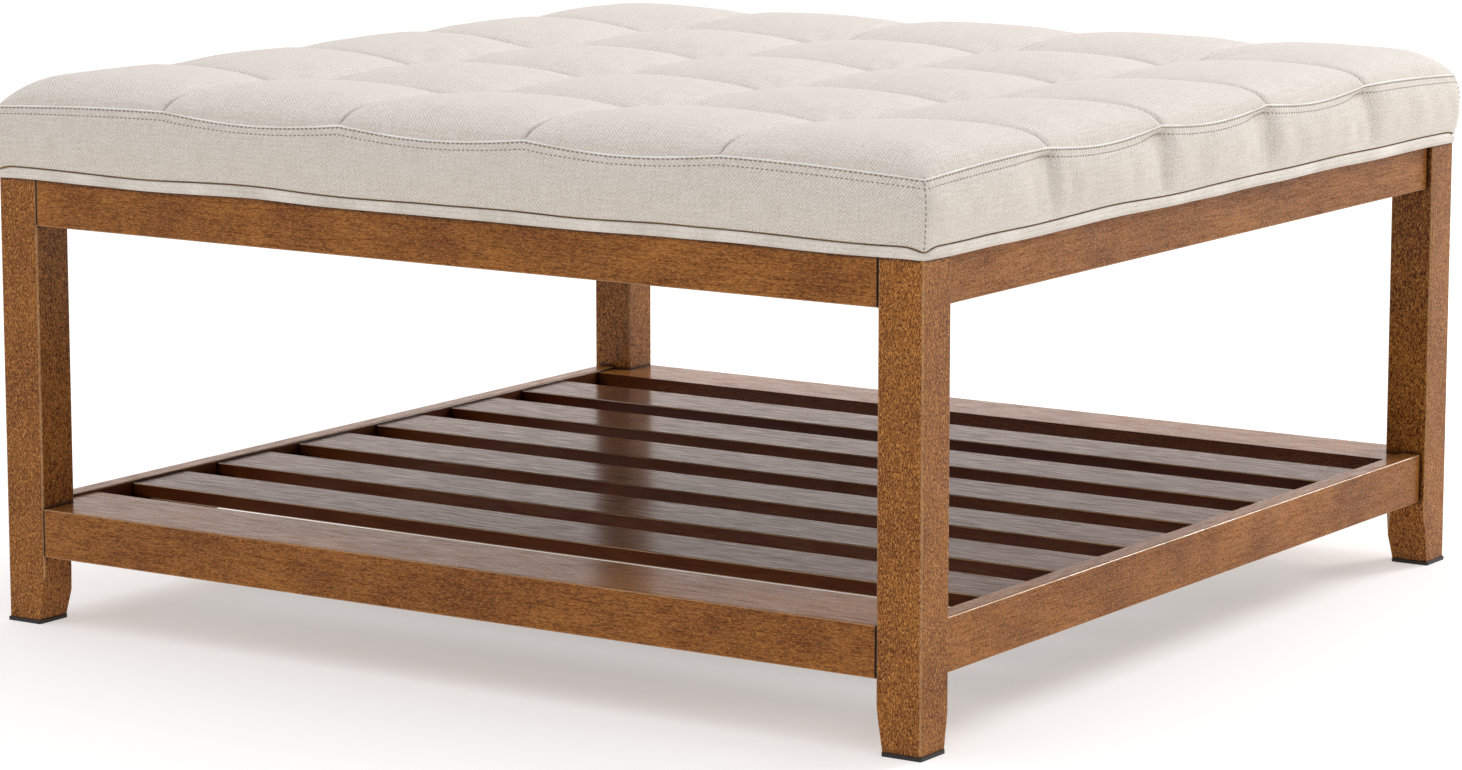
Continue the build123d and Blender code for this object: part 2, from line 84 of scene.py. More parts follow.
def colourFrom(code):  # sRGB hex to linear
    shares = [int(code[i:i + 2], 16) / 255 for i in (0, 2, 4)]
    linear = [s / 12.92 if s <= 0.04045 else ((s + 0.055) / 1.055) ** 2.4 for s in shares]
    return (*linear, 1.0)


def addNode(tree, kind, values, output=0):  # values are settings, numbers, hex colours or sockets
    node = tree.nodes.new("ShaderNode" + kind)
    for name, value in values.items():
        if isinstance(value, bpy.types.NodeSocket):
            tree.links.new(value, node.inputs[name])
        elif isinstance(name, str) and hasattr(node, name):
            setattr(node, name, value)
        else:
            node.inputs[name].default_value = colourFrom(value) if isinstance(value, str) else value
    return node.outputs[output]


def newFinish(name, settings):
    finish = bpy.data.materials.new(name)
    finish.use_nodes = True
    shader = finish.node_tree.nodes["Principled BSDF"]
    for socket, value in settings.items():
        shader.inputs[socket].default_value = colourFrom(value) if isinstance(value, str) else value
    return finish, finish.node_tree, shader


def feed(shader, patterns):  # links patterns to the shader's own sockets
    for socket, pattern in patterns.items():
        shader.id_data.links.new(pattern, shader.inputs[socket])


# Floor and soft studio light, in metres and watts
studio = {
    "floorSize": 60.0,
    "floor": {"Base Color": "CFCDCA", "Roughness": 0.9,
              "Emission Color": "FFFCF9", "Emission Strength": 0.45},  # its glow keeps shadows faint
    "lowSkyColour": "FFF0EA",
    "highSkyColour": "F5F8FF",
    # strength of the low sky, from behind the camera round to the backdrop behind the table
    "lowSky": {"From Min": -0.8, "From Max": 0.8, "To Min": 0.36, "To Max": 1.5},
    # strength of each band of the sky above, and the heights where it comes in
    "skyBands": ((0.06, 0.172, 0.212), (1.44, 0.3, 0.75)),
    "lamps": ({"place": (1.5, 3.3, 1.7), "size": 1.0, "power": 65},
              {"place": (0.2, 0.8, 3.2), "size": 2.6, "power": 6}),
}


def addSoftbox(plan):
    place = Vector(plan["place"])
    turn = (Vector(view["aim"]) - place).to_track_quat("-Z", "Y").to_euler()
    bpy.ops.object.light_add(type="AREA", location=place, rotation=turn)
    lamp = bpy.context.object.data
    lamp.size = plan["size"]
    lamp.energy = plan["power"]


def buildStudio():
    bpy.ops.mesh.primitive_plane_add(size=studio["floorSize"], location=(0, 0, 0))
    floor = bpy.context.object
    floor.name = "studioFloor"
    floor.data.materials.append(newFinish("mattePaintedFloor", studio["floor"])[0])
    world = bpy.data.worlds.new("studioSky")
    world.use_nodes = True
    tree = world.node_tree
    direction = addNode(tree, "TexCoord", {}, "Generated")
    height = addNode(tree, "SeparateXYZ", {"Vector": direction}, "Z")
    turn = math.radians(view["azimuth"])
    behind = (-math.sin(turn), math.cos(turn), 0)
    side = addNode(tree, "VectorMath", {"operation": "DOT_PRODUCT", 0: direction, 1: behind}, "Value")
    strength = addNode(tree, "MapRange", {"Value": side, **studio["lowSky"]})
    for bandStrength, start, end in studio["skyBands"]:
        share = addNode(tree, "MapRange", {"Value": height, "From Min": start, "From Max": end})
        strength = addNode(tree, "Mix", {"data_type": "FLOAT", 0: share, 2: strength, 3: bandStrength})
    colour = addNode(tree, "Mix", {
        "data_type": "RGBA", 0: share, 6: studio["lowSkyColour"], 7: studio["highSkyColour"]}, 2)
    feed(tree.nodes["Background"], {"Strength": strength, "Color": colour})
    bpy.context.scene.world = world
    for plan in studio["lamps"]:
        addSoftbox(plan)
    bpy.context.scene.view_settings.view_transform = "Standard"
    print("studio built")


# Rubberwood stained walnut brown and sprayed with satin lacquer from above: warm brown, finely speckled
# and softly mottled, short dark pores along the grain, stain worn thin on the edges with a painted
# highlight, painted shade in the corners, on the boards inside the shelf and on the faces turned to the
# middle of the table, more shine on the tops
legInner = -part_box("leg_front_left")[1].x  # from the middle to the inner faces of the legs
stainedWood = {
    "shader": {"IOR": 1.5, "Specular IOR Level": 0.1, "Coat Roughness": 0.19},  # dull but for its lacquer
    "baseStain": "834D1B",
    # size across and along the grain, detail, where the stain starts and is full, its share, its colour;
    # real fibres, specks and pores are finer, and are drawn coarse enough to show
    "layers": {
        "mottle": (42 * mm, 60 * mm, 2.5, 0.32, 0.68, 1.0, "A5692B"),
        "fibre": (1.2 * mm, 24 * mm, 3.0, 0.45, 0.7, 0.6, "61300F"),
        "lightSpeck": (0.85 * mm, 1.7 * mm, 0.0, 0.5, 0.3, 0.7, "DA9648"),
        "darkSpeck": (0.9 * mm, 2.0 * mm, 0.0, 0.5, 0.7, 0.95, "461A06"),
        "pore": (1.0 * mm, 6 * mm, 1.0, 0.52, 0.7, 0.45, "331204"),
    },
    "railStretch": 1.5,  # the specks of the rails are longer along the grain
    "railSpeck": 0.5,  # and fainter
    "boardDepth": 0.8,  # how far the boards laid inside the shelf go to the painted shade
    # painted shade, standing in for the shade under the table
    "deepStain": "3A0B02",
    # dark line where a rail meets a leg, and painted shade in the corners
    "crackStain": "160400",
    # stain worn off the edges and at the nicks, with a painted highlight on the edges
    "wornStain": "E3BC8C",
    # where each effect starts and is full, and how strong it then is
    "inward": {"From Min": -0.1, "From Max": -0.3, "To Max": 0.8},  # painted shade on the faces turned to the middle
    "joint": {"From Min": legInner - 1.2 * mm, "From Max": legInner - 1.0 * mm},  # ends of the rails
    "edge": {"From Min": 0.985, "From Max": 0.9},  # lighter edges, worn stain with a painted highlight, by the largest part of the normal
    "edgeWear": 0.35,
    "boardEdgeWear": 0.7,
    "wearUneven": {"From Min": 0.3, "From Max": 0.6, "To Min": 0.4},
    "nick": {"From Min": 0.018, "From Max": 0.008, "To Max": 0.8},  # in spacings
    "nickSpacing": 95 * mm,
    "nickStretch": 3.0,
    "corner": {"From Min": 0.95, "From Max": 0.65, "To Max": 0.9},  # painted shade in corners, gaps and under the welt, by how open the spot is
    "cornerReach": 4 * mm,
    "roughness": {"From Min": 0.3, "From Max": 0.7, "To Min": 0.43, "To Max": 0.59},
    "lacquer": {"From Min": 0.3, "From Max": 0.8, "To Min": 0.21, "To Max": 1.0},  # sides to tops
    "lacquerStreaks": {"From Min": 0.35, "From Max": 0.65, "To Min": 1.25, "To Max": 0.5},
    "bump": {"Strength": 0.45, "Distance": 0.2 * mm},
}


def alongGrain(axis, across, along):  # scale that stretches a pattern along the grain
    scale = [1 / across] * 3
    scale["XYZ".index(axis)] = 1 / along
    return scale


def makeStainedWood(name, axis, depth):  # depth is how far it goes to the painted shade
    wood = stainedWood
    finish, tree, shader = newFinish(name, wood["shader"])
    place = addNode(tree, "TexCoord", {}, "Object")
    flat = addNode(tree, "NewGeometry", {}, "Normal")
    patterns = {}
    shares = {}
    colourLayers = []  # share and colour of each stain, painted shade and painted highlight, in the order they are laid on
    for key, (across, along, detail, start, full, most, colour) in wood["layers"].items():
        if key.endswith("Speck") and depth:
            continue
        if key.endswith("Speck") and axis != "Z":
            along *= wood["railStretch"]
            most *= wood["railSpeck"]
        grain = addNode(tree, "Mapping", {"Vector": place, "Scale": alongGrain(axis, across, along)})
        patterns[key] = addNode(tree, "TexNoise", {"Vector": grain, "Scale": 1.0, "Detail": detail})
        shares[key] = addNode(tree, "MapRange", {
            "Value": patterns[key], "From Min": start, "From Max": full, "To Max": most})
        colourLayers.append((shares[key], colour))
    # the boards inside the shelf take painted shade
    if depth:
        colourLayers.append((depth, wood["deepStain"]))
    if axis != "Z":  # painted shade on the inner faces, and a dark line where a rail meets a leg
        inward = addNode(tree, "VectorMath", {"operation": "DOT_PRODUCT", 0: place, 1: flat}, "Value")
        inward = addNode(tree, "MapRange", {"Value": inward, **wood["inward"]})
        apart = addNode(tree, "VectorMath", {"operation": "ABSOLUTE", 0: place})
        sides = addNode(tree, "SeparateXYZ", {"Vector": apart}).node.outputs
        nearLeg = addNode(tree, "Math", {"operation": "MINIMUM", 0: sides["X"], 1: sides["Y"]})
        joint = addNode(tree, "MapRange", {"Value": nearLeg, **wood["joint"]})
        colourLayers += [(inward, wood["deepStain"]), (joint, wood["crackStain"])]
    # lighter edges: worn stain with a painted highlight, strongest on the shelf boards
    sizes = addNode(tree, "VectorMath", {"operation": "ABSOLUTE", 0: flat})
    sizes = addNode(tree, "SeparateXYZ", {"Vector": sizes}).node.outputs
    largest = addNode(tree, "Math", {"operation": "MAXIMUM", 0: sizes["X"], 1: sizes["Y"]})
    largest = addNode(tree, "Math", {"operation": "MAXIMUM", 0: largest, 1: sizes["Z"]})
    wearAndHighlight = wood["boardEdgeWear"] if depth else wood["edgeWear"]
    edge = addNode(tree, "MapRange", {"Value": largest, "To Max": wearAndHighlight, **wood["edge"]})
    uneven = addNode(tree, "MapRange", {"Value": patterns["fibre"], **wood["wearUneven"]})
    edge = addNode(tree, "Math", {"operation": "MULTIPLY", 0: edge, 1: uneven})
    spread = alongGrain(axis, wood["nickSpacing"], wood["nickSpacing"] * wood["nickStretch"])
    nickPlace = addNode(tree, "Mapping", {"Vector": place, "Scale": spread})
    nick = addNode(tree, "TexVoronoi", {"Vector": nickPlace, "Scale": 1.0})
    nick = addNode(tree, "MapRange", {"Value": nick, **wood["nick"]})
    wornAndHighlit = addNode(tree, "Math", {"operation": "MAXIMUM", 0: edge, 1: nick})
    # painted shade where the spot is closed in: corners, gaps and the wood under the welt
    opened = addNode(tree, "AmbientOcclusion", {"samples": 4, "Distance": wood["cornerReach"]}, "AO")
    corner = addNode(tree, "MapRange", {"Value": opened, **wood["corner"]})
    colourLayers += [(wornAndHighlit, wood["wornStain"]), (corner, wood["crackStain"])]
    woodColour = wood["baseStain"]
    for share, colour in colourLayers:
        woodColour = addNode(tree, "Mix", {"data_type": "RGBA", 0: share, 6: woodColour, 7: colour}, 2)
    rough = addNode(tree, "MapRange", {"Value": patterns["fibre"], **wood["roughness"]})
    upward = addNode(tree, "SeparateXYZ", {"Vector": flat}, "Z")
    lacquer = addNode(tree, "MapRange", {"Value": upward, **wood["lacquer"]})
    streaks = addNode(tree, "MapRange", {"Value": patterns["fibre"], **wood["lacquerStreaks"]})
    lacquer = addNode(tree, "Math", {"operation": "MULTIPLY", 0: lacquer, 1: streaks})
    relief = addNode(tree, "Math", {"operation": "SUBTRACT", 0: patterns["fibre"], 1: shares["pore"]})
    bump = addNode(tree, "Bump", {"Height": relief, **wood["bump"]})
    feed(shader, {"Base Color": woodColour, "Roughness": rough, "Coat Weight": lacquer, "Normal": bump})
    return finish


# Ivory linen-look cloth woven as a twill: matte, uneven yarns, a fine diagonal, painted shade in the
# folds
linen = {
    "shader": {"Roughness": 0.92, "Specular IOR Level": 0.25,
               "Sheen Weight": 0.15, "Sheen Roughness": 0.5},
    "lightYarn": "EFE9E1",
    "darkYarn": "BAB0A1",
    "yarnSpacing": 2.0 * mm,  # real yarns are about half that, and are drawn coarse enough to show
    "twill": {"bands_direction": "Y", "Distortion": 1.6, "Detail": 2.0, "Detail Scale": 0.6},
    "twillTurn": -42,
    "flecks": 1.5 * mm,
    "slubAcross": 2.2 * mm,
    "slubAlong": 26 * mm,
    "shares": {"twill": 0.28, "flecks": 0.95, "slubX": 0.3, "slubY": 0.3},
    "tone": {"From Min": 0.58, "From Max": 1.25},  # sum of the shares, from dark to light yarn
    "fold": {"From Min": 0.72, "From Max": 0.26, "To Max": 0.95},  # painted shade in the folds, by how open the spot is
    "foldShade": "1F1913",
    "foldReach": 7 * mm,
    "bump": {"Strength": 0.45, "Distance": 0.3 * mm},
    "mapName": "clothMap",
}


def makeLinen():
    finish, tree, shader = newFinish("ivoryLinenTwill", linen["shader"])
    place = addNode(tree, "UVMap", {"uv_map": linen["mapName"]})
    turn = (0, 0, math.radians(linen["twillTurn"]))
    turned = addNode(tree, "Mapping", {"Vector": place, "Rotation": turn})
    patterns = {
        "twill": addNode(tree, "TexWave", {
            "Vector": turned, "Scale": waveBand / linen["yarnSpacing"], **linen["twill"]}, "Fac"),
        "flecks": addNode(tree, "TexNoise", {
            "Vector": place, "Scale": 1 / linen["flecks"], "Detail": 2.0}),
    }
    along, across = 1 / linen["slubAlong"], 1 / linen["slubAcross"]
    for key, scale in (("slubX", (along, across, 1)), ("slubY", (across, along, 1))):
        stretched = addNode(tree, "Mapping", {"Vector": place, "Scale": scale})
        patterns[key] = addNode(tree, "TexNoise", {"Vector": stretched, "Scale": 1.0, "Detail": 3.0})
    tone = 0.0
    for key, share in linen["shares"].items():
        tone = addNode(tree, "Math", {"operation": "MULTIPLY_ADD", 0: patterns[key], 1: share, 2: tone})
    light = addNode(tree, "MapRange", {"Value": tone, **linen["tone"]})
    yarn = addNode(tree, "Mix", {
        "data_type": "RGBA", 0: light, 6: linen["darkYarn"], 7: linen["lightYarn"]}, 2)
    # painted shade in the folds, seams and the gap above the welt
    opened = addNode(tree, "AmbientOcclusion", {"samples": 4, "Distance": linen["foldReach"]}, "AO")
    fold = addNode(tree, "MapRange", {"Value": opened, **linen["fold"]})
    yarn = addNode(tree, "Mix", {"data_type": "RGBA", 0: fold, 6: yarn, 7: linen["foldShade"]}, 2)
    weave = addNode(tree, "Math", {"operation": "ADD", 0: patterns["twill"], 1: patterns["flecks"]})
    bump = addNode(tree, "Bump", {"Height": weave, **linen["bump"]})
    feed(shader, {"Base Color": yarn, "Normal": bump})
    return finish


# Plainer finishes, each between two tones with a fine grain
plainFinishes = {
    # Moulded black polyethylene: dull, faintly scuffed
    "black_plastic": {"name": "mouldedBlackPolyethylene", "dark": "121212", "light": "262524",
                      "grain": 1.2 * mm, "roughness": 0.55, "bump": 0.05 * mm},
    # Zinc plated mild steel: pale grey, dull shine, patchy
    "zinc_steel": {"name": "zincPlatedSteel", "dark": "8C8F90", "light": "C3C5C4",
                   "grain": 3.0 * mm, "roughness": 0.38, "bump": 0.01 * mm, "metallic": 1.0},
    # Open-cell polyurethane foam: pale yellow, pitted
    "foam": {"name": "openCellFoam", "dark": "CDBB8A", "light": "EFE3BC",
             "grain": 1.4 * mm, "roughness": 1.0, "bump": 0.6 * mm},
    # Spunbonded black cambric: matte, with a fine fibre web
    "black_cloth": {"name": "spunbondedCambric", "dark": "0E0E0F", "light": "1F1F21",
                    "grain": 1.0 * mm, "roughness": 0.95, "bump": 0.1 * mm},
    # Waxed polyester twine: off-white, slightly shiny
    "twine": {"name": "waxedTwine", "dark": "B3A78F", "light": "E2D8C3",
              "grain": 0.6 * mm, "roughness": 0.6, "bump": 0.1 * mm},
    # Folded edge of the linen, pressed hard by its stitches: smooth, and made the lightest part of the
    # cloth by a painted highlight
    "foldedEdge": {"name": "pressedLinenEdge", "dark": "DED7CD", "light": "FBF8F3",
                   "grain": 1.2 * mm, "roughness": 0.8, "bump": 0.08 * mm},
    # Welt of the linen, drawn tight over its cords: smooth, and a little lighter than the cover as
    # painted light
    "weltLinen": {"name": "tightLinenWelt", "dark": "CDC5B9", "light": "EEE8DF",
                  "grain": 1.4 * mm, "roughness": 0.85, "bump": 0.1 * mm},
    # Spun polyester sewing thread, twisted: beige darkened to grey beige with painted shade of the stitch
    # holes, a dotted line on the cloth
    "thread": {"name": "spunBeigeThread", "dark": "756B5E", "light": "9E9384",
               "grain": 0.5 * mm, "roughness": 0.75, "bump": 0.08 * mm},
}
plainPattern = {
    "cloudGrains": 30,  # grains across a cloud of tone
    "tone": {"From Min": 0.7, "From Max": 1.3},  # sum of grain and cloud, from dark to light
    "shine": {"From Min": 0.3, "From Max": 0.7},
    "smoothShare": 0.9,  # roughness of the smoothest spots, as a share of the finish's
    "bumpStrength": 0.6,
}


def makePlainFinish(key):
    plan = plainFinishes[key]
    finish, tree, shader = newFinish(plan["name"], {"Metallic": plan.get("metallic", 0.0)})
    place = addNode(tree, "TexCoord", {}, "Object")
    speck = addNode(tree, "TexNoise", {"Vector": place, "Scale": 1 / plan["grain"], "Detail": 3.0})
    cloudSize = plainPattern["cloudGrains"] * plan["grain"]
    cloud = addNode(tree, "TexNoise", {"Vector": place, "Scale": 1 / cloudSize, "Detail": 2.0})
    tone = addNode(tree, "Math", {"operation": "ADD", 0: speck, 1: cloud})
    share = addNode(tree, "MapRange", {"Value": tone, **plainPattern["tone"]})
    colour = addNode(tree, "Mix", {"data_type": "RGBA", 0: share, 6: plan["dark"], 7: plan["light"]}, 2)
    rough = addNode(tree, "MapRange", {
        "Value": cloud, "To Min": plan["roughness"] * plainPattern["smoothShare"],
        "To Max": plan["roughness"], **plainPattern["shine"]})
    bump = addNode(tree, "Bump", {
        "Strength": plainPattern["bumpStrength"], "Distance": plan["bump"], "Height": speck})
    feed(shader, {"Base Color": colour, "Roughness": rough, "Normal": bump})
    return finish


# Bare hardwood and plywood under the top: planed, dry, pale
bareWood = {
    "plain_hardwood": {"name": "planedHardwood", "dark": "9A7A50", "light": "C9A877", "ply": 0.0},
    "plywood": {"name": "sandedPlywood", "dark": "A5824F", "light": "D6B883", "ply": 1.7 * mm},
}
bareGrain = {
    "across": 1.6 * mm,
    "along": 45 * mm,
    "tone": {"From Min": 0.3, "From Max": 0.7},  # from dark to light
    "roughness": 0.7,
    "bump": {"Strength": 0.3, "Distance": 0.2 * mm},
}


def makeBareWood(key):
    plan = bareWood[key]
    finish, tree, shader = newFinish(plan["name"], {"Roughness": bareGrain["roughness"]})
    place = addNode(tree, "TexCoord", {}, "Object")
    scale = alongGrain("X", bareGrain["across"], bareGrain["along"])
    grain = addNode(tree, "Mapping", {"Vector": place, "Scale": scale})
    fibre = addNode(tree, "TexNoise", {"Vector": grain, "Scale": 1.0, "Detail": 4.0})
    tone = addNode(tree, "MapRange", {"Value": fibre, **bareGrain["tone"]})
    if plan["ply"]:  # glue lines between the plies show on the edges
        plies = addNode(tree, "TexWave", {
            "Vector": place, "bands_direction": "Z", "Scale": waveBand / plan["ply"]}, "Fac")
        tone = addNode(tree, "Math", {"operation": "MULTIPLY", 0: tone, 1: plies})
    colour = addNode(tree, "Mix", {"data_type": "RGBA", 0: tone, 6: plan["dark"], 7: plan["light"]}, 2)
    bump = addNode(tree, "Bump", {"Height": fibre, **bareGrain["bump"]})
    feed(shader, {"Base Color": colour, "Normal": bump})
    return finish


def makeFinishes():
    made = {key: makePlainFinish(key) for key in plainFinishes}
    made.update({key: makeBareWood(key) for key in bareWood})
    made["linen"] = makeLinen()
    for axis in "XYZ":
        made["stained_wood" + axis] = makeStainedWood("stainedRubberwood" + axis, axis, 0.0)
    made["shelf_boards"] = makeStainedWood("stainedRubberwoodDeep", "X", stainedWood["boardDepth"])
    print("made", len(made), "finishes")
    return made


def grainAxis(nodeName):
    if nodeName.startswith("leg_"):
        return "Z"
    return "Y" if nodeName.endswith(("_left", "_right")) else "X"


def dress(piece, finish):
    piece.data.materials.clear()
    piece.data.materials.append(finish)


def dressFrame(finishes):
    for part in frame["record"]["subparts"]:
        key = part["material_slot"]
        if part["node"].startswith("shelf_slat_"):
            key = "shelf_boards"
        elif key == "stained_wood":
            key += grainAxis(part["node"])
        dress(nodes[part["node"]], finishes[key])
    print("frame dressed")


# Small helpers for modelling


def activate(piece):
    if bpy.context.object and bpy.context.object.mode != "OBJECT":
        bpy.ops.object.mode_set(mode="OBJECT")
    bpy.ops.object.select_all(action="DESELECT")
    if piece:
        piece.select_set(True)
        bpy.context.view_layer.objects.active = piece


def applyModifier(piece, kind, settings):
    activate(piece)
    modifier = piece.modifiers.new(kind, kind)
    for name, value in settings.items():
        setattr(modifier, name, value)
    bpy.ops.object.modifier_apply(modifier=modifier.name)


def applyPlace(piece):
    activate(piece)
    bpy.ops.object.transform_apply(location=True, rotation=True, scale=True)


def selectWhere(piece, kind, wanted):  # kind is "vertices", "edges" or "polygons"
    activate(piece)
    bpy.ops.object.mode_set(mode="EDIT")
    bpy.ops.mesh.select_mode(type={"vertices": "VERT", "edges": "EDGE", "polygons": "FACE"}[kind])
    bpy.ops.mesh.select_all(action="DESELECT")
    bpy.ops.object.mode_set(mode="OBJECT")
    for item in getattr(piece.data, kind):
        item.select = bool(wanted(item))
    bpy.ops.object.mode_set(mode="EDIT")


def editAll(piece):  # into edit mode with all of it selected
    activate(piece)
    bpy.ops.object.mode_set(mode="EDIT")
    bpy.ops.mesh.select_all(action="SELECT")


def extrude(*move):
    bpy.ops.mesh.extrude_region_move(TRANSFORM_OT_translate={"value": move})


def thicken(piece, wall):  # the wall grows inwards
    applyModifier(piece, "SOLIDIFY", {"thickness": wall, "offset": -1.0})


def joinAll(pieces):
    activate(pieces[0])
    for piece in pieces:
        piece.select_set(True)
    bpy.ops.object.join()
    return bpy.context.object


def smoothed(piece, degrees):
    activate(piece)
    bpy.ops.object.shade_smooth_by_angle(angle=math.radians(degrees))


def handOver(piece, name, finish, slotName, *replaced):
    piece.name = name
    dress(piece, finish)
    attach(piece, "root")
    if replaced:
        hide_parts(*replaced)
    print("made", name, len(piece.data.polygons), "faces")


def addGrid(rows, size, height):  # a level square around the table's axis
    activate(None)
    bpy.ops.mesh.primitive_grid_add(x_subdivisions=rows, y_subdivisions=rows, size=size,
                                    location=(0, 0, height))
    piece = bpy.context.object
    applyPlace(piece)
    return piece


def outwardAt(x, y, half, radius):  # plan direction away from a rounded square
    reach = half - radius
    away = Vector((x - max(-reach, min(reach, x)), y - max(-reach, min(reach, y)), 0))
    return away.normalized()


def alongSide(x, y):  # place along the nearest side of the square
    return y if abs(x) > abs(y) else x


# Tufted cover: five by five sewn cells over a boxing band
coverLow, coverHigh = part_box("tufted_cover")
cover = {
    "cells": 5,
    "rowsInCell": 24,
    "crowding": 1.65,  # how much the mesh rows crowd towards the seams
    # heights of the boxing's rows of faces, from its top seam down
    "bandShares": (1.4, 2.8, 2.1, 1.0, 2.2, 4.0, 4.4, 4.6, 4.6, 4.6, 4.6, 4.4, 4.0, 3.0, 1.9, 1.2),
    "stitchBands": (1, 3),  # rows of faces above each row of stitches
    "heldBands": 4,  # rows of faces below the top seam that the cloth simulation leaves in place
    "heldBottom": 4 * mm,  # and how far above the bottom it does so too
    "lip": 2.4 * mm,
    "lipInner": 1 * mm,  # the rows of the grid are crowded up to this far inside the lip
    "swell": 6.0 * mm,  # boxing past its top seam
    "corner": 5 * mm,
    "boxingHeight": 50 * mm,
    "tuftAbove": 6 * mm,  # tufts above the low points of the boxing seam
    "seamPuff": 7 * mm,
    "crestPuff": 4.5 * mm,
    "runOut": 0.6,  # how far the seams of the outer cells fade towards the edge
    "seamRise": 6 * mm,
    "shoulder": 45 * mm,
    "fullness": 0.55,  # under 1 makes the cells rounder and their seams sharper
    "creaseDepth": 3.4 * mm,
    "creaseWidth": 1.4 * mm,
    "creaseFade": 2 * mm,  # creases come in over this distance from the edge
    "shoulderCrease": 0.9,  # how much deeper they are just above the boxing seam
    "pinchDepth": 6.5 * mm,
    "pinchWidth": 8 * mm,
    "unevenness": 0.8 * mm,
    "topUnevenLength": 55 * mm,
    "boxingUnevenLength": 40 * mm,
    "unevenStart": 20 * mm,  # from the edge of the top
    "boxingBulge": 6.2 * mm,
    "bulgeAtLines": 0.75,  # share of it that is left at the tuft lines
    "bulgeRise": 0.85,  # under 1 puts the fullest part above the middle
    "bottomOut": 1.3 * mm,  # bottom edge past the top seam
    "bottomCurve": 3,
    "sinks": {"front": 1.0 * mm, "right": 8.0 * mm, "back": 3.0 * mm, "left": 2.5 * mm},
    "sinkGentle": 34 * mm,
    "sinkSteep": 10 * mm,
    "sinkLean": 12 * mm,
    "sinkLeanStart": 0.3,  # share of the lean that is there at the top seam
    "sinkSeeds": (31, 900, 3),  # pick each sink's lean from its line, its side and a plain number
    "sinkFade": 0.6,  # under 1 keeps the sinks deep further down
    "wrinkles": {"front": 0.3 * mm, "right": 2.8 * mm, "back": 1.2 * mm, "left": 1.0 * mm},
    "wrinkleAcross": 17 * mm,
    "wrinkleAlong": 60 * mm,
    "wrinkleTurn": 65,
    "wrinkleSeed": 5000,
    "foldStart": 0.12,  # share of the boxing's height in which sinks and wrinkles come in
    "stitchDip": 0.35 * mm,
    "stitchDipWidth": 0.8 * mm,
    "bottomGap": 1.1 * mm,
    "hemWave": 3.2 * mm,
    "hemWaveLength": 115 * mm,
    "hemWaveSeed": 0.1,
    "cornerDip": 3.6 * mm,
    "cornerDipWidth": 9 * mm,
    "lipRise": 0.8 * mm,  # the lip inside the bottom edge slopes up
    "flatLean": 0.05,  # creases go in square to the cloth, nearly straight down on the top
    "wall": 2.2 * mm,
    "smoothAngle": 40,
}
coverHalf = coverHigh.x - cover["swell"]
cellSide = 2 * coverHalf / cover["cells"]
seamLow = coverLow.z + cover["boxingHeight"]
tuftLines = [-coverHalf + n * cellSide for n in range(1, cover["cells"])]
tufts = [(x, y) for x in tuftLines for y in tuftLines]
bandUnit = cover["boxingHeight"] / sum(cover["bandShares"])


def eased(share):  # 0 to 1 with soft ends
    share = min(max(share, 0), 1)
    return share * share * (3 - 2 * share)


def crowded(value):  # moves the even rows of the grid towards the seams
    if abs(value) > coverHalf - cover["lip"] - cover["lipInner"]:
        return value
    share = (value + coverHalf) / cellSide
    cell = min(int(share), cover["cells"] - 1)
    side = 2 * (share - cell) - 1
    side = math.copysign(1 - (1 - abs(side)) ** cover["crowding"], side)
    return -coverHalf + (cell + (side + 1) / 2) * cellSide


def puff(distance, otherDistance):  # 0 on a seam and 1 in the middle of a cell
    if distance < cellSide / 2:
        return 1.0
    full = abs(math.sin(math.pi * distance / cellSide)) ** cover["fullness"]
    faded = cover["runOut"] * eased(2 * (cellSide - otherDistance) / cellSide)
    return full + (1 - full) * faded


def shoulderRise(distance):
    share = min(distance / cover["shoulder"], 1)
    return math.sqrt(1 - (1 - share) ** 2)


def seamHeight(distance):  # the boxing seam hangs between the tuft lines
    turn = math.pi * distance / cellSide
    pull = math.sin(turn / 2) if distance < cellSide else 1 - abs(math.sin(turn))
    return seamLow + cover["seamRise"] * pull


def topHeight(x, y):  # height before the creases are pressed in
    inX = max(coverHalf - abs(x), 0)
    inY = max(coverHalf - abs(y), 0)
    puffX, puffY = puff(inX, inY), puff(inY, inX)
    crown = seamLow + cover["tuftAbove"]
    crown += cover["seamPuff"] * (puffX + puffY) + cover["crestPuff"] * puffX * puffY
    edge = seamHeight(max(inX, inY))
    return edge + (crown - edge) * shoulderRise(inX) * shoulderRise(inY)


def creaseAt(x, y):  # how deep the cloth is pressed in along the seams and at the tufts
    inside = min(coverHalf - abs(x), coverHalf - abs(y))
    offX = min(abs(x - line) for line in tuftLines)
    offY = min(abs(y - line) for line in tuftLines)
    depth = cover["creaseDepth"] * math.exp(-min(offX, offY) / cover["creaseWidth"])
    depth *= 1 + cover["shoulderCrease"] * max(1 - inside / cover["shoulder"], 0)
    depth *= eased(inside / cover["creaseFade"])
    if inside > cellSide / 2:
        depth += cover["pinchDepth"] * math.exp(-(offX ** 2 + offY ** 2) / cover["pinchWidth"] ** 2)
    return depth


def roundedCorner(x, y, half, radius):  # square to rounded square
    overX, overY = abs(x) - (half - radius), abs(y) - (half - radius)
    if overX <= 0 or overY <= 0:
        return x, y
    shrink = max(overX, overY) / math.hypot(overX, overY)
    newX, newY = half - radius + overX * shrink, half - radius + overY * shrink
    return math.copysign(newX, x), math.copysign(newY, y)


def boxingSwell(share, along):  # how far the boxing stands out, from its top seam at 0 down to 1
    least = cover["bulgeAtLines"]
    fullness = least + (1 - least) * abs(math.sin(math.pi * (coverHalf - abs(along)) / cellSide))
    bulge = cover["boxingBulge"] * math.sin(math.pi * share ** cover["bulgeRise"]) * fullness
    return bulge + cover["bottomOut"] * share ** cover["bottomCurve"]


def sideName(x, y):
    if abs(x) > abs(y):
        return "right" if x > 0 else "left"
    return "back" if y > 0 else "front"


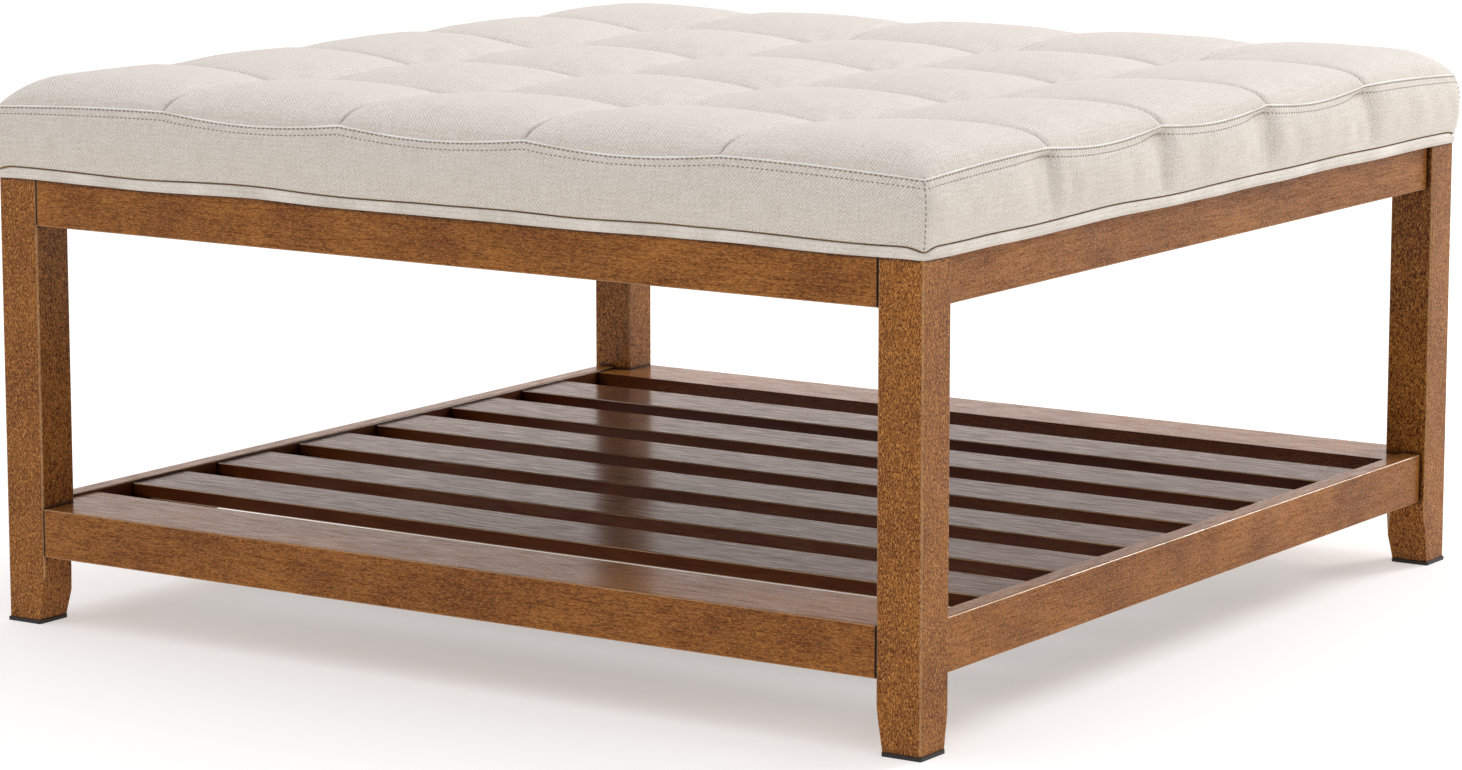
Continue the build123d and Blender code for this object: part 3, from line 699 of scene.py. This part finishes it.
def boxingFolds(share, along, height, name):  # sinks under each tuft line, wrinkles aslant
    sink, wrinkle = cover["sinks"][name], cover["wrinkles"][name]
    lineSeed, sideSeed, plainSeed = cover["sinkSeeds"]
    total = 0.0
    for line in tuftLines:
        lean = cover["sinkLean"] * noise.noise(Vector((line * lineSeed, sink * sideSeed, plainSeed)))
        off = along - line - lean * (cover["sinkLeanStart"] + share)
        width = cover["sinkSteep"] if off > 0 else cover["sinkGentle"]
        total -= sink * math.exp(-(off / width) ** 2) * (1 - share) ** cover["sinkFade"]
    turn = math.radians(cover["wrinkleTurn"])
    across = (along * math.sin(turn) + height * math.cos(turn)) / cover["wrinkleAcross"]
    downwards = (height * math.sin(turn) - along * math.cos(turn)) / cover["wrinkleAlong"]
    ripple = noise.noise(Vector((across, downwards, wrinkle * cover["wrinkleSeed"])))
    total += wrinkle * ripple * math.sin(math.pi * share)
    return total * eased(share / cover["foldStart"])


def hemWave(x, y, dip):  # the bottom edge of the boxing and the welt wander up and down together
    wave = cover["hemWave"] * noise.noise(Vector((x, y, cover["hemWaveSeed"])) / cover["hemWaveLength"])
    toCorner = math.hypot(coverHalf - abs(x), coverHalf - abs(y))
    return wave - dip * math.exp(-(toCorner / cover["cornerDipWidth"]) ** 2)


def startCoverMesh():
    piece = addGrid(cover["cells"] * cover["rowsInCell"], 2 * coverHalf, seamLow)
    selectWhere(piece, "vertices", lambda v: max(abs(v.co.x), abs(v.co.y)) > coverHalf - near)
    bpy.ops.mesh.select_mode(type="EDGE")
    for share in cover["bandShares"]:
        extrude(0, 0, -share * bandUnit)
    extrude(0, 0, 0)
    shrink = 1 - cover["lip"] / coverHalf
    bpy.ops.transform.resize(value=(shrink, shrink, 1))
    bpy.ops.object.mode_set(mode="OBJECT")
    for vertex in piece.data.vertices:
        vertex.co.x = crowded(vertex.co.x)
        vertex.co.y = crowded(vertex.co.y)
    return piece


def markRows(piece):  # names the rows of points that seams, stitches and pins need
    bands = (0, *cover["stitchBands"], cover["heldBands"])
    *rowHeights, heldHeight = [seamLow - bandUnit * sum(cover["bandShares"][:n]) for n in bands]
    marked = {"boxingSeam": [], "stitchRow1": [], "stitchRow2": [], "cornerSeams": [], "sewn": []}
    for vertex in piece.data.vertices:
        x, y, z = vertex.co
        atEdge = max(abs(x), abs(y)) > coverHalf - near
        atCorner = min(abs(x), abs(y)) > coverHalf - near
        for name, height in zip(("boxingSeam", "stitchRow1", "stitchRow2"), rowHeights):
            if atEdge and abs(z - height) < near:
                marked[name].append(vertex.index)
        if atCorner and z < seamLow + near:
            marked["cornerSeams"].append(vertex.index)
        toLine = min(min(abs(x - line), abs(y - line)) for line in tuftLines)
        onLine = z > seamLow - near and toLine < near
        lowRow = z < coverLow.z + cover["heldBottom"]
        stitched = atEdge and z > heldHeight - near
        turnedIn = not atEdge and z < seamLow - near
        if onLine or lowRow or atCorner or stitched or turnedIn:
            marked["sewn"].append(vertex.index)
    for name, indices in marked.items():
        piece.vertex_groups.new(name=name).add(indices, 1.0, "REPLACE")


def clothLength(value):  # flat length of the cloth from the middle, longer over the shoulder
    inside = max(coverHalf - abs(value), 0)
    if inside > cover["shoulder"]:
        return value
    rise = cover["tuftAbove"] + 2 * cover["seamPuff"] + cover["crestPuff"]
    length = math.hypot(inside, rise * shoulderRise(inside))
    whole = math.hypot(cover["shoulder"], rise)
    return math.copysign(coverHalf - cover["shoulder"] + whole - length, value)


def mapCloth(piece):  # flat map in metres, so that the weave has its real size on every panel
    layer = piece.data.uv_layers.new(name=linen["mapName"])
    for face in piece.data.polygons:
        normal = face.normal
        for corner in face.loop_indices:
            x, y, z = piece.data.vertices[piece.data.loops[corner].vertex_index].co
            if abs(normal.z) > facing:
                layer.data[corner].uv = (clothLength(x), -clothLength(y))
            elif abs(normal.x) > abs(normal.y):
                layer.data[corner].uv = (y, z)
            else:
                layer.data[corner].uv = (x, z)


def shapeTopPoint(x, y):
    inside = min(coverHalf - abs(x), coverHalf - abs(y))
    push = boxingSwell(0, alongSide(x, y)) * max(1 - inside / cover["shoulder"], 0)
    grow = 1 + push / coverHalf
    newX, newY = roundedCorner(x * grow, y * grow, coverHalf + push, cover["corner"])
    uneven = cover["unevenness"] * min(inside / cover["unevenStart"], 1)
    height = topHeight(x, y) + noise.noise(Vector((x, y, 0)) / cover["topUnevenLength"]) * uneven
    leanX = math.copysign(max(1 - (coverHalf - abs(x)) / cover["shoulder"], 0), x)
    leanY = math.copysign(max(1 - (coverHalf - abs(y)) / cover["shoulder"], 0), y)
    outward = Vector((leanX, leanY, cover["flatLean"] + shoulderRise(inside))).normalized()
    return Vector((newX, newY, height)) - outward * creaseAt(x, y)


def shapeBoxingPoint(x, y, z, lipped):
    share = min((seamLow - z) / cover["boxingHeight"], 1)
    along = alongSide(x, y)
    push = boxingSwell(share, along)
    if not lipped:
        push += boxingFolds(share, along, z, sideName(x, y))
        uneven = cover["unevenness"] * math.sin(math.pi * share)
        push += noise.noise(Vector((x, y, z)) / cover["boxingUnevenLength"]) * uneven
        for bands in cover["stitchBands"]:  # each row of stitches lies in a slight dip
            rowShare = sum(cover["bandShares"][:bands]) / sum(cover["bandShares"])
            off = (share - rowShare) * cover["boxingHeight"] / cover["stitchDipWidth"]
            push -= cover["stitchDip"] * math.exp(-off ** 2)
    grow = 1 + push / coverHalf
    newX, newY = roundedCorner(x * grow, y * grow, coverHalf + push, cover["corner"])
    high = seamHeight(coverHalf - abs(along))
    low = coverLow.z + cover["bottomGap"] + hemWave(x, y, cover["cornerDip"]) + cover["lipRise"] * lipped
    return newX, newY, high + (low - high) * share


def shapeCover(piece):
    for vertex in piece.data.vertices:
        x, y, z = vertex.co
        if z > seamLow - near:
            vertex.co = shapeTopPoint(x, y)
        else:
            lipped = max(abs(x), abs(y)) < coverHalf - near
            vertex.co = shapeBoxingPoint(x, y, z, lipped)


# Cloth simulation that fills the sewn cells, with every seam held
inflation = {
    "steps": 20,
    "pressure": 4.0,
    "cap": 6 * mm,  # no point moves further than that
    "tension": 15.0,
    "bending": 0.4,
    "mass": 0.3,
}


def inflate(piece):
    activate(piece)
    start = [vertex.co.copy() for vertex in piece.data.vertices]
    cloth = piece.modifiers.new("sewnCloth", "CLOTH")
    cloth.settings.vertex_group_mass = "sewn"
    cloth.settings.use_pressure = True
    cloth.settings.uniform_pressure_force = inflation["pressure"]
    cloth.settings.mass = inflation["mass"]
    cloth.settings.tension_stiffness = inflation["tension"]
    cloth.settings.compression_stiffness = inflation["tension"]
    cloth.settings.bending_stiffness = inflation["bending"]
    cloth.settings.effector_weights.gravity = 0
    cloth.collision_settings.use_collision = False
    cloth.point_cache.frame_start = 1
    cloth.point_cache.frame_end = inflation["steps"]
    for step in range(1, inflation["steps"] + 1):
        bpy.context.scene.frame_set(step)
    bpy.ops.object.modifier_apply(modifier=cloth.name)
    bpy.context.scene.frame_set(1)
    furthest = 0.0
    for vertex, place in zip(piece.data.vertices, start):
        move = vertex.co - place
        furthest = max(furthest, move.length)
        if move.length > inflation["cap"]:
            vertex.co = place + move * (inflation["cap"] / move.length)
    print("cover inflated, furthest point", round(furthest / mm, 1), "mm")


def makeCover():
    piece = startCoverMesh()
    markRows(piece)
    piece.data.update()
    mapCloth(piece)
    shapeCover(piece)
    inflate(piece)
    return piece


def finishCover(piece, finish):
    thicken(piece, cover["wall"])
    smoothed(piece, cover["smoothAngle"])
    handOver(piece, "cushionCover", finish, "linen", "tufted_cover")


# Seam ridge: the folded edge of the cloth stands up a little along the boxing seam
ridge = {
    "radius": 0.8 * mm,
    "resolution": 2,
    "smoothAngle": 50,
}


def curvesAlong(source, groupName):  # copies a marked row of points as curves, one for each run
    activate(source)
    bpy.ops.object.mode_set(mode="EDIT")
    bpy.ops.mesh.select_mode(type="VERT")
    bpy.ops.mesh.select_all(action="DESELECT")
    source.vertex_groups.active_index = source.vertex_groups[groupName].index
    bpy.ops.object.vertex_group_select()
    bpy.ops.mesh.duplicate()
    bpy.ops.mesh.separate(type="SELECTED")
    bpy.ops.object.mode_set(mode="OBJECT")
    row = [piece for piece in bpy.context.selected_objects if piece != source][0]
    activate(row)
    bpy.ops.mesh.separate(type="LOOSE")
    curves = []
    for run in list(bpy.context.selected_objects):
        activate(run)
        bpy.ops.object.convert(target="CURVE")
        curves.append(bpy.context.object)
    return curves


def makeRidge(source, finish):
    curve = curvesAlong(source, "boxingSeam")[0]
    curve.data.bevel_depth = ridge["radius"]
    curve.data.bevel_resolution = ridge["resolution"]
    activate(curve)
    bpy.ops.object.convert(target="MESH")
    piece = bpy.context.object
    smoothed(piece, ridge["smoothAngle"])
    handOver(piece, "seamRidge", finish, "linen")


# Topstitching: two rows below the boxing seam and one on each corner seam
stitch = {
    "length": 2.4 * mm,
    "pitch": 4.4 * mm,
    "thickness": 1.0 * mm,
    "sides": 6,
    "straight": 0.6,  # share of its length before the ends dive into the cloth
    "endShare": 0.55,
}


def makeStitches(curve):
    activate(None)
    bpy.ops.mesh.primitive_cylinder_add(
        vertices=stitch["sides"], radius=stitch["thickness"] / 2,
        depth=stitch["length"] * stitch["straight"],
        location=(stitch["pitch"] / 2, 0, 0), rotation=(0, math.pi / 2, 0))
    piece = bpy.context.object
    applyPlace(piece)
    taper = stitch["length"] * (1 - stitch["straight"]) / 2
    for side in (-1, 1):
        selectWhere(piece, "polygons", lambda f: f.normal.x * side > facing)
        extrude(side * taper, 0, 0)
        bpy.ops.transform.resize(value=(1, stitch["endShare"], stitch["endShare"]))
        bpy.ops.object.mode_set(mode="OBJECT")
    applyModifier(piece, "ARRAY", {
        "fit_type": "FIT_CURVE", "curve": curve, "use_relative_offset": False,
        "use_constant_offset": True, "constant_offset_displace": (stitch["pitch"], 0, 0)})
    applyModifier(piece, "CURVE", {"object": curve, "deform_axis": "POS_X"})
    bpy.data.objects.remove(curve)
    return piece


# Cushion welt: a double cord drawn tight with cloth, hung over the joint between the cover and the frame
weltLow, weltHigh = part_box("cushion_welt")
welt = {
    "corner": 7 * mm,
    "cornerSteps": 6,
    "rows": 12,
    "pointSpacing": 7.5 * mm,
    "wall": 1.2 * mm,
    "roll": 1.3 * mm,  # how far the middle of the band stands out past its edges
    "rollShape": 0.5,
    "groove": 0.6 * mm,  # between its two cords
    "grooveShare": 0.07,
    "flange": 1.0 * mm,  # turned in under the cover
    "setBack": 0.4 * mm,  # the stapled lip under the band, in its shade
    "lip": 1.4 * mm,
    "hang": 0.6 * mm,
    "hangWave": 70 * mm,
    "levelBottom": 0.85,  # how much less its bottom edge dips at the corners
    "steadyBottom": 0.35,  # how much less its bottom edge wanders
    "smoothAngle": 60,
}
weltHalf = weltHigh.x - welt["roll"]


def makeWelt():
    activate(None)
    inner = weltHalf - welt["flange"]
    bpy.ops.mesh.primitive_plane_add(size=2 * inner, location=(0, 0, weltHigh.z))
    piece = bpy.context.object
    applyPlace(piece)
    editAll(piece)
    bpy.ops.mesh.bevel(offset=welt["corner"], segments=welt["cornerSteps"], affect="VERTICES")
    bpy.ops.mesh.delete(type="ONLY_FACE")
    bpy.ops.object.mode_set(mode="OBJECT")
    points = piece.data.vertices
    selectWhere(piece, "edges",
                lambda e: (points[e.vertices[0]].co - points[e.vertices[1]].co).length > weltHalf)
    bpy.ops.mesh.subdivide(number_cuts=round(2 * weltHalf / welt["pointSpacing"]))
    bpy.ops.mesh.select_all(action="SELECT")
    height = weltHigh.z - weltLow.z
    steps = [(weltHalf / inner, 0)]  # scale in plan, then height, of each extrusion
    steps += [(1, -height / welt["rows"])] * welt["rows"]
    steps += [(1 - welt["setBack"] / weltHalf, 0), (1, -welt["lip"])]
    for scale, drop in steps:
        extrude(0, 0, drop)
        bpy.ops.transform.resize(value=(scale, scale, 1))
    bpy.ops.object.mode_set(mode="OBJECT")
    layer = piece.data.uv_layers.new(name=linen["mapName"])
    for face in piece.data.polygons:
        for corner in face.loop_indices:
            x, y, z = piece.data.vertices[piece.data.loops[corner].vertex_index].co
            layer.data[corner].uv = (x + y, z)
    for vertex in piece.data.vertices:
        x, y, z = vertex.co
        share = min((weltHigh.z - z) / height, 1)
        out = welt["roll"] * max(math.sin(math.pi * share), 0) ** welt["rollShape"]
        out -= welt["groove"] * math.exp(-((share - 0.5) / welt["grooveShare"]) ** 2)
        dip = cover["cornerDip"] * (1 - welt["levelBottom"] * share)
        droop = welt["hang"] * share * (1 + noise.noise(vertex.co / welt["hangWave"]))
        sag = hemWave(x, y, dip) * (1 - welt["steadyBottom"] * share) - droop
        vertex.co += outwardAt(x, y, weltHalf, welt["corner"]) * out + Vector((0, 0, sag))
    editAll(piece)
    bpy.ops.mesh.normals_make_consistent(inside=False)
    bpy.ops.object.mode_set(mode="OBJECT")
    return piece


def finishWelt(piece, finish):
    thicken(piece, welt["wall"])
    smoothed(piece, welt["smoothAngle"])
    handOver(piece, "cushionWelt", finish, "linen", "cushion_welt")


# Foam and wadding under the cover, pulled in at the tufts
foamLow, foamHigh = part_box("foam_pad")
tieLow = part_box("tuft_ties")[0]
foam = {
    "rowsInCell": 12,
    "clearance": 5.5 * mm,  # below the outside of the cover
    "sideClearance": 5.5 * mm,
    "topShare": 0.2,  # share of the boxing's height where the foam's top edge presses on it
    "sideOnly": 8,  # the higher, the closer to its sides the foam draws in
    "corner": 14 * mm,
    "holeRadius": 1.6 * mm,
    "holeSides": 12,
    "cutterLength": 200 * mm,
    "smoothAngle": 45,
}


def makeFoam(finish):
    piece = addGrid(cover["cells"] * foam["rowsInCell"], 2 * foamHigh.x, foamHigh.z)
    selectWhere(piece, "vertices", lambda v: max(abs(v.co.x), abs(v.co.y)) > foamHigh.x - near)
    bpy.ops.mesh.select_mode(type="EDGE")
    extrude(0, 0, foamLow.z - foamHigh.z)
    bpy.ops.mesh.edge_face_add()
    bpy.ops.object.mode_set(mode="OBJECT")
    for vertex in piece.data.vertices:
        x, y, z = vertex.co
        onTop = z > foamLow.z + near
        share = foam["topShare"] if onTop else 1.0
        inset = foam["sideClearance"] - boxingFolds(share, alongSide(x, y), z, sideName(x, y))
        toSide = max(abs(x), abs(y)) / foamHigh.x
        shrink = 1 - inset * toSide ** foam["sideOnly"] / foamHigh.x
        if onTop:
            z = topHeight(x, y) - foam["clearance"] - creaseAt(x, y)
        x, y = roundedCorner(x * shrink, y * shrink, foamHigh.x - inset, foam["corner"])
        vertex.co = (x, y, z)
    holes = []
    for x, y in tufts:
        activate(None)
        bpy.ops.mesh.primitive_cylinder_add(vertices=foam["holeSides"], radius=foam["holeRadius"],
                                            depth=foam["cutterLength"], location=(x, y, foamHigh.z))
        holes.append(bpy.context.object)
    cutter = joinAll(holes)
    applyModifier(piece, "BOOLEAN", {"object": cutter, "operation": "DIFFERENCE", "solver": "EXACT"})
    bpy.data.objects.remove(cutter)
    smoothed(piece, foam["smoothAngle"])
    handOver(piece, "foamCore", finish, "foam", "foam_pad")


# Twine through the foam and the deck at each tuft: two strands twisted together
twine = {
    "strandRadius": 0.5 * mm,
    "sides": 6,
    "twist": 5 * mm,  # height of one full turn
    "stepsInTurn": 10,
    "below": 6 * mm,  # under the outside of the cover
    "mergeWithin": 0.01 * mm,
    "smoothAngle": 60,
}


def makeTwine(finish):
    top = seamLow + cover["tuftAbove"] - cover["pinchDepth"] - twine["below"]
    height = top - tieLow.z
    turns = round(height / twine["twist"])
    strands = []
    for side in (-1, 1):
        activate(None)
        bpy.ops.mesh.primitive_circle_add(vertices=twine["sides"], radius=twine["strandRadius"],
                                          location=(side * twine["strandRadius"], 0, 0))
        strand = bpy.context.object
        applyPlace(strand)
        applyModifier(strand, "SCREW", {
            "angle": 2 * math.pi * turns, "screw_offset": height, "axis": "Z",
            "steps": turns * twine["stepsInTurn"], "render_steps": turns * twine["stepsInTurn"]})
        editAll(strand)
        bpy.ops.mesh.remove_doubles(threshold=twine["mergeWithin"])
        bpy.ops.mesh.fill_holes(sides=twine["sides"])
        bpy.ops.mesh.normals_make_consistent(inside=False)
        bpy.ops.object.mode_set(mode="OBJECT")
        strands.append(strand)
    model = joinAll(strands)
    copies = []
    for x, y in tufts:
        activate(model)
        bpy.ops.object.duplicate()
        copy = bpy.context.object
        copy.location = (x, y, tieLow.z)
        applyPlace(copy)
        copies.append(copy)
    bpy.data.objects.remove(model)
    piece = joinAll(copies)
    smoothed(piece, twine["smoothAngle"])
    handOver(piece, "tuftTwine", finish, "twine", "tuft_ties")


# Dust cloth: a square with its corners cut off at the blocks, stretched under the deck
dustLow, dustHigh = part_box("dust_cover")
blockLow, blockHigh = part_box("top_corner_block_front_left")
dust = {
    "rows": 60,
    "margin": 4 * mm,  # between the cloth and the corner blocks
    "hem": 12 * mm,
    "wall": 0.5 * mm,
    "deckGap": 0.2 * mm,
    "ripple": 0.35 * mm,
    "rippleLength": 70 * mm,
    "smoothAngle": 50,
}


def makeDustCloth(finish):
    half = dustHigh.x
    chord = -blockHigh.x - blockLow.y - dust["margin"]  # x + y along the cut corners
    piece = addGrid(dust["rows"], 2 * half, dustHigh.z)
    bpy.ops.object.mode_set(mode="EDIT")
    for sideX in (-1, 1):
        for sideY in (-1, 1):
            bpy.ops.mesh.select_all(action="SELECT")
            bpy.ops.mesh.bisect(plane_co=(sideX * chord / 2, sideY * chord / 2, dustHigh.z),
                                plane_no=(sideX, sideY, 0), clear_outer=True)
    bpy.ops.object.mode_set(mode="OBJECT")
    for vertex in piece.data.vertices:
        x, y, z = vertex.co
        inside = min(half - abs(x), half - abs(y), (chord - abs(x) - abs(y)) / math.sqrt(2))
        ripple = dust["ripple"] * (1 + noise.noise(vertex.co / dust["rippleLength"]))
        low = dustLow.z + dust["wall"] + ripple
        high = dustHigh.z - dust["deckGap"]
        vertex.co.z = high + (low - high) * eased(inside / dust["hem"])
    thicken(piece, dust["wall"])
    smoothed(piece, dust["smoothAngle"])
    handOver(piece, "dustCloth", finish, "black_cloth", "dust_cover")


finishes = makeFinishes()
placeCamera()
buildStudio()
dressFrame(finishes)
coverPiece = makeCover()
weltPiece = makeWelt()
makeRidge(coverPiece, finishes["foldedEdge"])
stitchRows = []
for rowName in ("stitchRow1", "stitchRow2", "cornerSeams"):
    stitchRows += [makeStitches(curve) for curve in curvesAlong(coverPiece, rowName)]
handOver(joinAll(stitchRows), "topStitching", finishes["thread"], "linen")
finishCover(coverPiece, finishes["linen"])
finishWelt(weltPiece, finishes["weltLinen"])
makeFoam(finishes["foam"])
makeTwine(finishes["twine"])
makeDustCloth(finishes["black_cloth"])
